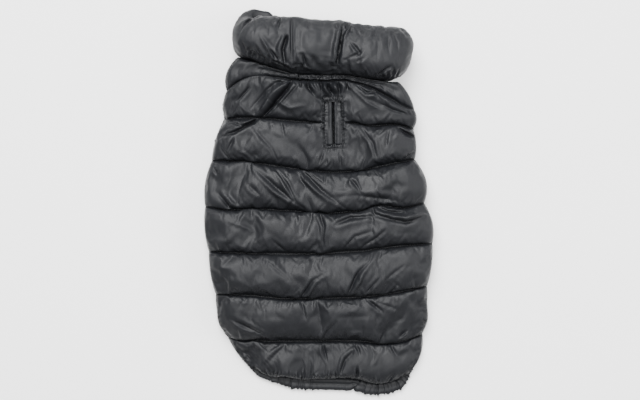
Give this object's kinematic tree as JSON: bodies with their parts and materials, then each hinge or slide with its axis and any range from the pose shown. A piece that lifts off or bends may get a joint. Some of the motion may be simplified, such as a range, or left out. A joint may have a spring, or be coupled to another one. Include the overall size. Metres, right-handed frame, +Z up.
{
  "type": "quilted dog winter coat",
  "caption": "Padded quilted winter coat for a dog, lying flat with its back up: puffy channels, thick ring collar, leash slot, leg openings and an elasticated hem.",
  "frame": {"origin": "on the surface that the coat lies on, under the middle of its outline", "axes": "+Y from the tail towards the collar, the coat's longest extent; +Z up out of its back, the shortest extent; +X to the right of the coat as it is seen from above"},
  "size_m": [0.2407, 0.4019, 0.0569],
  "materials": {
    "shell_fabric": "charcoal nylon taffeta, soft sheen",
    "trim_fabric": "dark knitted elastic binding, matt"
  },
  "bodies": {
    "root": {"back_panel": "shell_fabric", "belly_panel": "shell_fabric", "collar": "shell_fabric", "hem_casing": "shell_fabric", "belly_binding": "trim_fabric", "neck_elastic": "shell_fabric", "slot_welt_left": "shell_fabric", "slot_welt_right": "shell_fabric", "leg_binding_left": "trim_fabric", "leg_binding_right": "trim_fabric"}
  },
  "joints": []
}
